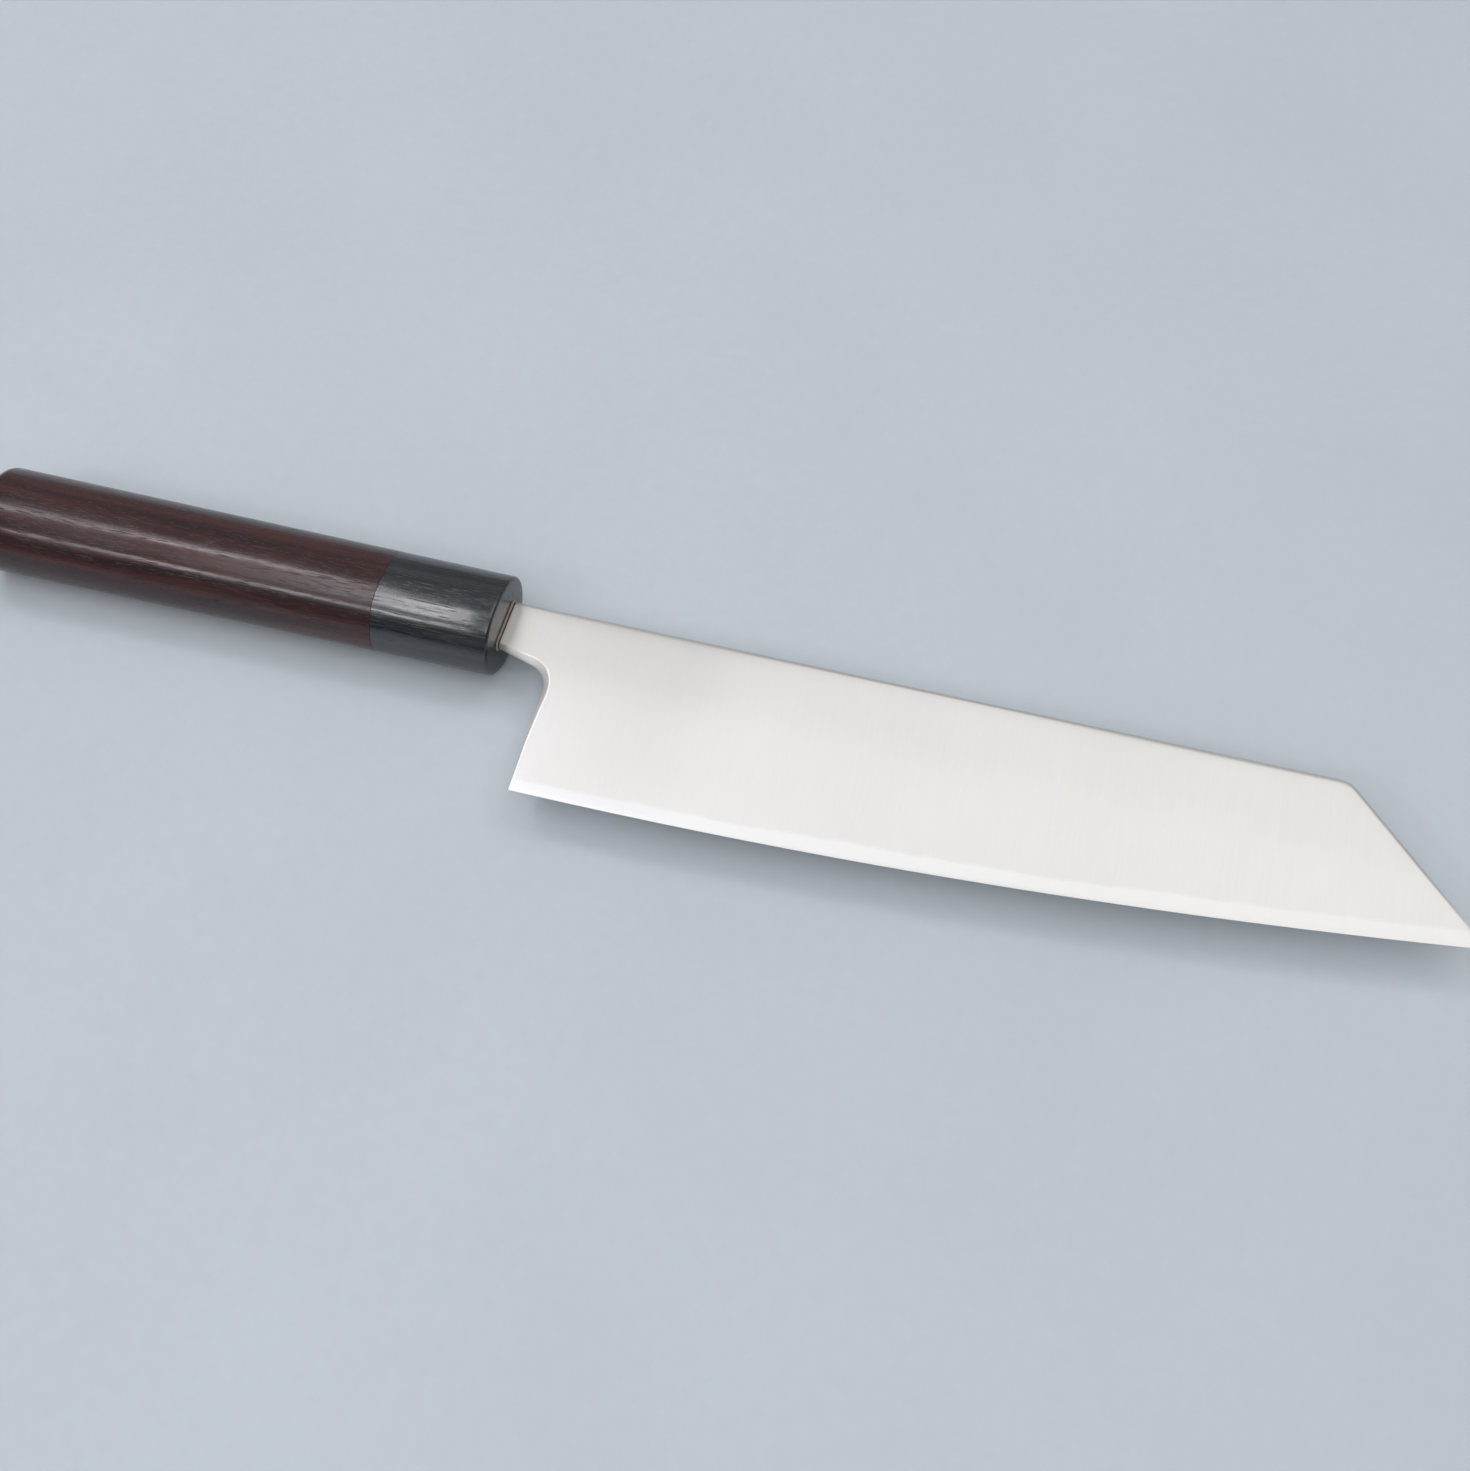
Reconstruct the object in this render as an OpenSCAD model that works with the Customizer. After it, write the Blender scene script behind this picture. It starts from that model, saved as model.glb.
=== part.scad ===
// Kitchen knife with a clipped (kiritsuke) tip, a three-layer blade and a ridged wooden handle.
// The knife lies on its side. +X runs from the butt to the tip, the cutting edge faces -Y and the
// right-hand face of the blade is up (+Z). All lengths are millimetres.
// The shapes are drawn in knife coordinates: x = 0 is the front face of the ferrule, and the
// handle's centre line is the X axis. seat() then moves them so that the origin lies under the
// middle of the knife, on the surface that it rests on.

/* [Blade] */
// Length of the cutting edge from heel to tip
blade_len = 210; // [165:1:270]
// Height from the spine to the cutting edge at the heel
heel_height = 47; // [42:0.5:56]
// How far the cutting edge climbs towards the spine between heel and tip
edge_rise = 15; // [8:0.5:22]
// Angle of the clipped tip to the spine, in degrees
tip_angle = 44.5; // [34:0.5:60]
// Radius that softens the corner between the spine and the clipped tip
tip_corner_r = 5; // [1:0.5:12]
// Thickness of the spine at the neck and over the heel
spine_t = 2.2; // [1.8:0.1:3]
// Thickness of the spine at the tip's end of the blade
tip_spine_t = 1.1; // [0.8:0.1:1.6]
// Distance ahead of the ferrule over which the spine keeps its full thickness
taper_start = 70; // [50:1:110]

/* [Layers and grind] */
// Thickness of the hard core layer
core_t = 0.5; // [0.35:0.05:0.7]
// Height above the cutting edge where the ground face meets the flat upper part
grind_h = 30; // [24:0.5:32]
// How far each ground face bulges out of a straight wedge
face_bulge = 0.06; // [0.02:0.01:0.12]
// Height of the narrow sharpening bevel along the cutting edge
bevel_h = 0.6; // [0.3:0.1:1.2]
// Thickness of the blade just above the sharpening bevel
bevel_t = 0.2; // [0.12:0.02:0.3]
// Thickness of the cutting edge itself
edge_t = 0.04; // [0.02:0.01:0.08]

/* [Neck and tang] */
// Distance from the front of the ferrule to the heel
neck_gap = 14.8; // [12:0.2:22]
// Height of the neck where it enters the ferrule
neck_h = 12.4; // [10.6:0.2:12.6]
// Height of the spine above the centre line of the handle
spine_y = 6.5; // [5.8:0.1:7]
// How far the underside of the neck drops before it turns down to the heel
neck_drop = 3.9; // [2:0.1:5]
// Radius of the curve between the neck and the choil
choil_r = 7; // [3:0.5:9]
// How far the heel reaches ahead of the neck's corner
heel_lean = 0.8; // [0:0.1:2]
// Distance ahead of the ferrule at which the steel starts to thin towards the tang
tang_start = 1; // [0.6:0.1:3]
// Length of the hidden tang behind the front of the ferrule
tang_len = 95; // [70:1:106]
// Height of the tang at its hidden end
tang_end_h = 6; // [4:0.5:8]
// Thickness of the tang at its hidden end
tang_end_t = 1.8; // [1.2:0.1:1.8]

/* [Handle] */
// Length of the whole handle, ferrule included
handle_len = 132; // [120:1:150]
// Length of the black ferrule
ferrule_len = 28.6; // [22:0.2:40]
// Height of the handle's section at the front, from spine side to edge side
handle_h = 24.8; // [23:0.2:30]
// Thickness of the handle's section at the front, from face to face
handle_t = 19.8; // [19:0.2:25]
// Growth of the section from the front of the ferrule to the butt, as a part of one
handle_flare = 0.075; // [0:0.005:0.12]
// Height of the soft ridge that runs along the handle's upper side
ridge_h = 0.85; // [0.2:0.05:1.2]
// Direction of the ridge round the section, in degrees from the spine side
ridge_angle = 120; // [105:1:135]
// Width of the ridge, in degrees round the section
ridge_spread = 23; // [20:1:32]
// Radius of the eased front edge of the ferrule
front_ease = 0.8; // [0.3:0.1:2]
// Radius of the rounded butt
butt_r = 3; // [1:0.5:6]

/* [Dowel and bedding] */
// Diameter of the wooden dowel that joins the ferrule and the handle
dowel_d = 13; // [12.9:0.1:14]
// Length of the solid part of the dowel, behind its slot
dowel_tail = 9; // [5:0.5:14]
// Thickness of the ferrule's front wall, ahead of the dowel
front_wall = 6; // [4:0.5:9]
// Width of the dowel's slot for the tang
slot_w = 3; // [2.6:0.1:3.6]
// Room for glue between the dowel and its bore
glue_gap = 0.1; // [0.05:0.05:0.2]
// Room for bedding resin behind the end of the tang
tang_room = 2; // [1:0.5:4]
// Width of the sealing bead round the neck
seal_w = 0.6; // [0.4:0.1:0.9]
// Depth of the sealing bead inside the ferrule
seal_depth = 1.5; // [1:0.1:3]
// How far the sealing bead stands out of the ferrule's front face
seal_proud = 0.25; // [0.1:0.05:0.5]

/* [Hidden] */

SECTION_STEPS = 72;   // points round the handle's section
CORNER_STEPS = 12;    // segments of a rounded outline corner
GRIND_STEPS = 8;      // segments of a ground face, from bevel to flat
EASE_STEPS = 4;       // rings of a rounded handle end
EDGE_FN = 1440;       // facets of the full circle that the edge is a short arc of
BORE_FN = 96;
OVERCUT = 5;          // how far a cutting shape reaches past what it cuts

// The cutting edge is one arc, level at the heel and edge_rise higher at the tip.
edge_r = (blade_len * blade_len + edge_rise * edge_rise) / (2 * edge_rise);
heel = [neck_gap, spine_y - heel_height];
tip = [neck_gap + blade_len, heel.y + edge_rise];
tip_corner = [tip.x - (spine_y - tip.y) / tan(tip_angle), spine_y];

neck_bottom = spine_y - neck_h;
neck_mid = spine_y - neck_h / 2;
neck_corner = [neck_gap - heel_lean, neck_bottom - neck_drop];

slot_end = tang_len + tang_room;
dowel_end = slot_end + dowel_tail;

// The box of the whole knife: the handle is widest where the rounding of the butt starts.
widest_scale = flare(handle_len - butt_r);
mid_x = (tip.x - handle_len) / 2;
mid_y = (handle_h / 2 * widest_scale + heel.y) / 2;
rest_z = handle_t / 2 * widest_scale;

// Scale of the handle's section at a distance behind the front of the ferrule.
function flare(back) = 1 + handle_flare * back / handle_len;

function unit(v) = v / norm(v);

// Points of the arc that rounds corner b of the outline a, b, c with radius r.
function rounded_corner(a, b, c, r) =
    let (
        to_a = unit(a - b),
        to_c = unit(c - b),
        half = acos(to_a * to_c) / 2,
        reach = r / tan(half),
        centre = b + unit(to_a + to_c) * r / sin(half),
        first = b + to_a * reach - centre,
        last = b + to_c * reach - centre,
        start = atan2(first.y, first.x),
        turn = atan2(last.y, last.x) - start,
        sweep = turn > 180 ? turn - 360 : (turn < -180 ? turn + 360 : turn)
    )
    [for (i = [0 : CORNER_STEPS])
        let (angle = start + sweep * i / CORNER_STEPS)
        centre + r * [cos(angle), sin(angle)]];

// Section of the handle, seen from the front: an oval with a soft ridge on its upper side.
function section_point(angle) =
    let (
        off = (angle - ridge_angle) / ridge_spread,
        swell = 1 + ridge_h / (handle_t / 2) * exp(-off * off)
    )
    [handle_h / 2 * cos(angle) * swell, handle_t / 2 * sin(angle) * swell];

// One ring of the handle: the section at a distance behind the front, drawn in by inset.
function handle_ring(back, inset) =
    let (scale_here = flare(back) - inset / (handle_t / 2))
    [for (i = [0 : SECTION_STEPS - 1])
        let (p = section_point(360 * i / SECTION_STEPS) * scale_here)
        [-back, p.x, p.y]];

// Half thickness of the ground blade at a height above the cutting edge.
function ground_half(height) =
    let (u = (height - bevel_h) / (grind_h - bevel_h))
    bevel_t / 2 + u * (spine_t - bevel_t) / 2 + 4 * face_bulge * u * (1 - u);

// Moves a shape from knife coordinates to the place where the knife lies.
module seat() {
    translate([-mid_x, -mid_y, rest_z]) children();
}

// A closed solid through rings with the same number of points each.
module loft(rings) {
    n = len(rings[0]);
    last = len(rings) - 1;
    sides = [
        for (k = [0 : last - 1], i = [0 : n - 1])
            let (j = (i + 1) % n, a = k * n, b = (k + 1) * n)
            each [[a + i, a + j, b + j], [a + i, b + j, b + i]]
    ];
    front = [for (i = [n - 1 : -1 : 0]) i];
    back = [for (i = [0 : n - 1]) last * n + i];
    polyhedron([for (ring = rings) each ring], concat(sides, [front, back]));
}

// Outline of blade, neck and tang, reaching past the cutting edge, which the grind cuts.
module steel_outline() {
    below = heel.y - OVERCUT;
    lean = (heel.x - neck_corner.x) / (neck_corner.y - heel.y);
    heel_low = [heel.x + lean * OVERCUT, below];
    tip_low = [tip.x + (tip.y - below) / tan(tip_angle), below];
    neck_front = [0, neck_bottom];
    spine_front = [0, spine_y];
    polygon(concat(
        [spine_front],
        rounded_corner(spine_front, tip_corner, tip_low, tip_corner_r),
        [tip_low, heel_low],
        rounded_corner(heel_low, neck_corner, neck_front, choil_r),
        [
            neck_front,
            [-tang_len, neck_mid - tang_end_h / 2],
            [-tang_len, neck_mid + tang_end_h / 2]
        ]
    ));
}

// Slab of steel between two heights.
module steel_slab(z_low, z_high) {
    translate([0, 0, z_low]) linear_extrude(z_high - z_low) steel_outline();
}

// Thickness of the steel along its length, from the end of the tang to the tip.
module steel_thickness() {
    half = [
        [-tang_len - OVERCUT, tang_end_t / 2],
        [-tang_len, tang_end_t / 2],
        [tang_start, spine_t / 2],
        [taper_start, spine_t / 2],
        [tip.x, tip_spine_t / 2],
        [tip.x + 2 * OVERCUT, tip_spine_t / 2]
    ];
    under = [for (i = [len(half) - 1 : -1 : 0]) [half[i].x, -half[i].y]];
    rotate([90, 0, 0])
        linear_extrude(4 * heel_height, center = true)
            polygon(concat(half, under));
}

// The ground wedge, turned about the centre of the edge's arc.
module ground_wedge() {
    reach = heel_height + 4 * OVERCUT;
    thick = 2 * spine_t;
    tang_side = asin((heel.x + tang_len + 2 * OVERCUT) / (edge_r - reach));
    tip_side = asin((blade_len + 4 * OVERCUT) / (edge_r - reach));
    upper = concat(
        [[edge_r - reach, thick], [edge_r - grind_h - OVERCUT, thick]],
        [for (i = [GRIND_STEPS : -1 : 0])
            let (height = bevel_h + (grind_h - bevel_h) * i / GRIND_STEPS)
            [edge_r - height, ground_half(height)]],
        [[edge_r, edge_t / 2]]
    );
    lower = [for (i = [len(upper) - 1 : -1 : 0]) [upper[i].x, -upper[i].y]];
    translate([heel.x, heel.y + edge_r, 0])
        rotate([0, 0, -90 - tang_side])
            rotate_extrude(angle = tang_side + tip_side, $fn = EDGE_FN)
                polygon(concat(upper, lower));
}

// Steel between two heights with its faces ground and its spine tapered.
module steel_layer(z_low, z_high) {
    intersection() {
        steel_slab(z_low, z_high);
        ground_wedge();
        steel_thickness();
    }
}

// Cylinder along the handle, centred on the tang, between two distances behind the front.
module along_tang(from, to, diameter) {
    translate([-to, neck_mid, 0])
        rotate([0, 90, 0])
            cylinder(h = to - from, d = diameter, $fn = BORE_FN);
}

// Round-ended prism round the neck, with margin all round, between two distances behind the front.
module neck_opening(from, to, margin) {
    width = spine_t + 2 * margin;
    centre_y = (neck_h + 2 * margin - width) / 2;
    translate([-to, neck_mid, 0])
        rotate([0, 90, 0])
            linear_extrude(to - from)
                union() {
                    square([width, 2 * centre_y], center = true);
                    for (side = [-1, 1])
                        translate([0, side * centre_y]) circle(d = width, $fn = BORE_FN);
                }
}

// Prism of the slot that the dowel is split by.
module dowel_slot() {
    translate([-slot_end, neck_mid - dowel_d, -slot_w / 2])
        cube([slot_end - front_wall, 2 * dowel_d, slot_w]);
}

module core_steel() {
    color([0.80, 0.81, 0.82]) seat() steel_layer(-core_t / 2, core_t / 2);
}

module right_cladding() {
    color([0.86, 0.86, 0.85]) seat() steel_layer(core_t / 2, spine_t);
}

module left_cladding() {
    color([0.86, 0.86, 0.85]) seat() steel_layer(-spine_t, -core_t / 2);
}

module ferrule() {
    eased = [for (i = [0 : EASE_STEPS])
        let (angle = 90 * i / EASE_STEPS)
        handle_ring(front_ease * (1 - cos(angle)), front_ease * (1 - sin(angle)))];
    color([0.13, 0.14, 0.17]) seat()
        difference() {
            loft(concat(eased, [handle_ring(ferrule_len, 0)]));
            neck_opening(-OVERCUT, front_wall + OVERCUT, seal_w);
            along_tang(front_wall, ferrule_len + OVERCUT, dowel_d + 2 * glue_gap);
        }
}

module handle_body() {
    butt = [for (i = [0 : EASE_STEPS])
        let (angle = 90 * i / EASE_STEPS)
        handle_ring(handle_len - butt_r * (1 - sin(angle)), butt_r * (1 - cos(angle)))];
    color([0.34, 0.13, 0.11]) seat()
        difference() {
            loft(concat([handle_ring(ferrule_len, 0)], butt));
            along_tang(ferrule_len - OVERCUT, dowel_end + glue_gap, dowel_d + 2 * glue_gap);
        }
}

module dowel() {
    color([0.78, 0.62, 0.42]) seat()
        difference() {
            along_tang(front_wall + glue_gap, dowel_end, dowel_d);
            dowel_slot();
        }
}

module tang_bedding() {
    color([0.85, 0.66, 0.30]) seat()
        difference() {
            union() {
                neck_opening(seal_depth, front_wall, seal_w);
                intersection() {
                    along_tang(front_wall, slot_end, dowel_d);
                    dowel_slot();
                }
            }
            intersection() {
                steel_slab(-spine_t, spine_t);
                steel_thickness();
            }
        }
}

module mouth_seal() {
    color([0.80, 0.52, 0.20]) seat()
        difference() {
            union() {
                neck_opening(0, seal_depth, seal_w);
                neck_opening(-seal_proud, 0, seal_w / 2);
            }
            intersection() {
                steel_slab(-spine_t, spine_t);
                steel_thickness();
            }
        }
}

core_steel();
right_cladding();
left_cladding();
ferrule();
handle_body();
dowel();
tang_bedding();
mouth_seal();
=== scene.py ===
"""Kitchen knife with a clipped tip, a layered blade and a ridged wooden handle, dressed for renders.

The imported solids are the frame. The blade's layers, the ferrule, the handle and the sealing bead are
modelled here in finer detail and stand for their solids; the hidden dowel and bedding keep theirs.
Shapes are worked out in knife millimetres: x = 0 is the ferrule's front face, the handle's centre line
is the X axis, the cutting edge faces -Y and the right-hand face of the blade is +Z.
"""

import logging
import math
from dataclasses import dataclass
from enum import Enum
from typing import Callable, Sequence

import bpy
import numpy as np
from mathutils import Matrix, Vector

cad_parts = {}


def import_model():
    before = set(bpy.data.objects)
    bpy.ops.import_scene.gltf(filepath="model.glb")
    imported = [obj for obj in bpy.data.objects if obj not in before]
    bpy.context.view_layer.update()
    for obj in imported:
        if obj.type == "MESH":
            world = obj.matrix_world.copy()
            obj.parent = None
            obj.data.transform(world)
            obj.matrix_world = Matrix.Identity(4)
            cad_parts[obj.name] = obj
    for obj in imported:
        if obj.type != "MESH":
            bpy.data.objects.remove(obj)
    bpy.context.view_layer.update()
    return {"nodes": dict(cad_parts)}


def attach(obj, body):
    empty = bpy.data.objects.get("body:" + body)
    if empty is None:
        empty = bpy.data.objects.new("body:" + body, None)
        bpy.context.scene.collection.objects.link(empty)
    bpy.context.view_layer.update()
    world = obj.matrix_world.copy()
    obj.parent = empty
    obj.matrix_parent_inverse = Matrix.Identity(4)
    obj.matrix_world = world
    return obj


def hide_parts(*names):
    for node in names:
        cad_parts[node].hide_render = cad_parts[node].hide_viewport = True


LOG = logging.getLogger("knife")
MM = 0.001
PER_METRE = 1000.0
SEAT = np.array([-46.4, 13.59557, 10.62562])
SMOOTH_ANGLE = math.radians(32.0)
# Distance in metres under which two places count as one.
TINY = 1e-7
# Decimals to which places in metres are rounded before they are compared.
DIGITS = 8
# The blade's UV map, and the height in millimetres that a v of 1 stands for.
EDGE_CHART = "along_edge"
CHART_HEIGHT = 60.0
QUARTER_TURN = math.pi / 2.0

Colour = tuple[float, float, float, float]
Socket = bpy.types.NodeSocket


def seated(points: np.ndarray) -> np.ndarray:
    """Moves points of shape (n, 3) from knife millimetres to the frame, in metres."""
    return (np.asarray(points, float) + SEAT) * MM


def seated_point(x: float, y: float, z: float) -> Vector:
    """Moves one point from knife millimetres to the frame, in metres."""
    return Vector(seated(np.array([[x, y, z]]))[0])


class Pick(Enum):
    """What an edit-mode selection is made of."""

    VERTS = (True, False, False)
    FACES = (False, False, True)


class Bench:
    """Edit-mode operations on one mesh object, as they are done by hand."""

    def __init__(self, name: str) -> None:
        """Takes the active object, which a primitive has just made, and names it.

        Args:
            name: Name of the piece.
        """
        self.piece = bpy.context.active_object
        self.piece.name = name
        self.piece.data.name = name

    @staticmethod
    def clear() -> None:
        """Deselects every object, because an operator acts on all that is selected."""
        bpy.ops.object.select_all(action="DESELECT")

    def coordinates(self) -> np.ndarray:
        """Reads the vertices' places.

        Returns:
            Array of shape (n, 3), in metres.
        """
        mesh = self.piece.data
        flat = np.zeros(len(mesh.vertices) * 3)
        mesh.vertices.foreach_get("co", flat)
        return flat.reshape(-1, 3)

    def lay(self, points: np.ndarray) -> None:
        """Lays the vertices on new places, an array of shape (n, 3) in metres."""
        self.piece.data.vertices.foreach_set("co", np.asarray(points, float).ravel())
        self.piece.data.update()

    def pick(self, kind: Pick, test: Callable[[Vector], bool]) -> None:
        """Selects the vertices or faces whose place passes a test, and goes into edit mode.

        Args:
            kind: Vertices or faces.
            test: Says of a vertex or of a face's centre whether it is selected.
        """
        self.leave()
        bpy.context.tool_settings.mesh_select_mode = kind.value
        mesh = self.piece.data
        for group in (mesh.vertices, mesh.edges, mesh.polygons):
            group.foreach_set("select", [False] * len(group))
        if kind is Pick.FACES:
            for face in mesh.polygons:
                face.select = test(face.center)
        else:
            for vertex in mesh.vertices:
                vertex.select = test(vertex.co)
        bpy.ops.object.mode_set(mode="EDIT")

    def pick_all(self) -> None:
        """Selects the whole mesh in edit mode."""
        self.leave()
        bpy.ops.object.mode_set(mode="EDIT")
        bpy.ops.mesh.select_all(action="SELECT")

    def leave(self) -> None:
        """Goes back to object mode with this piece alone selected."""
        if bpy.context.object and bpy.context.object.mode == "EDIT":
            bpy.ops.object.mode_set(mode="OBJECT")
        self.clear()
        self.piece.select_set(True)
        bpy.context.view_layer.objects.active = self.piece

    def extrude(self, move: Sequence[float]) -> None:
        """Extrudes the selected region by a move in metres."""
        bpy.ops.mesh.extrude_region_move(TRANSFORM_OT_translate={"value": tuple(move)})

    @staticmethod
    def settle() -> None:
        """Puts the selected piece's place, turn and scale in its mesh."""
        bpy.ops.object.transform_apply(location=True, rotation=True, scale=True)

    def cut(self, cutter: "Bench") -> None:
        """Takes another closed shape away from this piece and deletes that shape.

        Args:
            cutter: The shape that is taken away.
        """
        cutter.close()
        self.leave()
        modifier = self.piece.modifiers.new("cut", "BOOLEAN")
        modifier.operation = "DIFFERENCE"
        modifier.solver = "EXACT"
        modifier.object = cutter.piece
        bpy.ops.object.modifier_apply(modifier=modifier.name)
        bpy.data.objects.remove(cutter.piece)

    def close(self) -> None:
        """Merges doubles, turns the faces outward and puts the piece's place in its mesh."""
        self.pick_all()
        bpy.ops.mesh.remove_doubles(threshold=TINY)
        bpy.ops.mesh.normals_make_consistent(inside=False)
        self.leave()
        self.settle()

    def finish(self, material: bpy.types.Material, slot: str, nodes: Sequence[str]) -> None:
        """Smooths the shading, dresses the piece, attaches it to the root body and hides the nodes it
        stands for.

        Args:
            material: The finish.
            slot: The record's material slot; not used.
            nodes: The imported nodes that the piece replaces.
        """
        self.leave()
        bpy.ops.object.shade_smooth_by_angle(angle=SMOOTH_ANGLE, keep_sharp_edges=True)
        self.piece.data.materials.clear()
        self.piece.data.materials.append(material)
        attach(self.piece, "root")
        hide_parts(*nodes)
        LOG.info("%s: %d faces", self.piece.name, len(self.piece.data.polygons))


# Shader nodes


class Sheet:
    """Adds and links the nodes of one shader tree."""

    COLUMN_WIDTH = 190.0
    # The range that most of a noise's values lie in.
    NOISE_LOW = 0.3
    NOISE_HIGH = 0.7

    def __init__(self, tree: bpy.types.NodeTree) -> None:
        """Starts on the node tree of a material, a group or the world."""
        self.tree = tree
        self.column = 0

    def feed(self, node: bpy.types.Node, values: dict) -> None:
        """Sets or links inputs of a node.

        Args:
            node: The node.
            values: Input name or number to a constant, or to the socket that feeds it.
        """
        for name, value in values.items():
            if isinstance(value, Socket):
                self.tree.links.new(value, node.inputs[name])
            else:
                node.inputs[name].default_value = value

    def add(self, kind: str, values: dict | None = None, **settings: object) -> bpy.types.Node:
        """Adds a node.

        Args:
            kind: The node's type.
            values: Input name or number to a constant, or to the socket that feeds it.
            **settings: The node's own properties.

        Returns:
            The new node.
        """
        node = self.tree.nodes.new(kind)
        node.location = (self.column * self.COLUMN_WIDTH, 0.0)
        self.column += 1
        for name, value in settings.items():
            setattr(node, name, value)
        self.feed(node, values or {})
        return node

    def math(self, operation: str, first: object, second: object = 0.0) -> Socket:
        """Works on two constants or sockets with a Math node."""
        return self.add("ShaderNodeMath", {0: first, 1: second}, operation=operation).outputs[0]

    def remap(self, value: object, low: object, high: object, *results: object) -> Socket:
        """Maps a value from one range to another and keeps it inside the second.

        Args:
            value: The constant or socket that is mapped.
            low: Start of its range.
            high: End of its range.
            *results: The results at the start and at the end, 0 and 1 unless given.

        Returns:
            The mapped value.
        """
        to_low, to_high = results or (0.0, 1.0)
        values = {0: value, 1: low, 2: high, 3: to_low, 4: to_high}
        return self.add("ShaderNodeMapRange", values, clamp=True).outputs[0]

    def full(self, noise: object, *results: object) -> Socket:
        """Spreads a noise's usual range over two results, 0 and 1 unless given."""
        return self.remap(noise, self.NOISE_LOW, self.NOISE_HIGH, *results)

    def stretched(self, vector: object, stretch: Sequence[object]) -> Socket:
        """Multiplies a vector by three constants or sockets."""
        factors = self.add("ShaderNodeCombineXYZ", dict(enumerate(stretch))).outputs[0]
        return self.add("ShaderNodeVectorMath", {0: vector, 1: factors}, operation="MULTIPLY").outputs[0]

    def noise(self, vector: object, detail: float, roughness: float = 0.5) -> Socket:
        """Adds a noise of scale one on a vector that already has its scale."""
        values = {"Vector": vector, "Scale": 1.0, "Detail": detail, "Roughness": roughness}
        return self.add("ShaderNodeTexNoise", values, noise_dimensions="3D").outputs[0]

    def blend(self, factor: object, first: object, second: object) -> Socket:
        """Mixes two colours by the share of the second one."""
        values = {0: factor, 6: first, 7: second}
        return self.add("ShaderNodeMix", values, data_type="RGBA", clamp_factor=True).outputs[2]

    def bump(self, height: Socket, strength: float, distance: float) -> Socket:
        """Turns a height into a normal, with the relief's full distance in metres."""
        values = {"Strength": strength, "Distance": distance, "Height": height}
        return self.add("ShaderNodeBump", values).outputs[0]

    def group(self, tree: bpy.types.NodeTree, values: dict) -> bpy.types.Node:
        """Places a shared effect with its own values."""
        return self.add("ShaderNodeGroup", values, node_tree=tree)


def rgb(red: float, green: float, blue: float) -> Colour:
    """Returns a linear colour with full alpha."""
    return (red, green, blue, 1.0)


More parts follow.
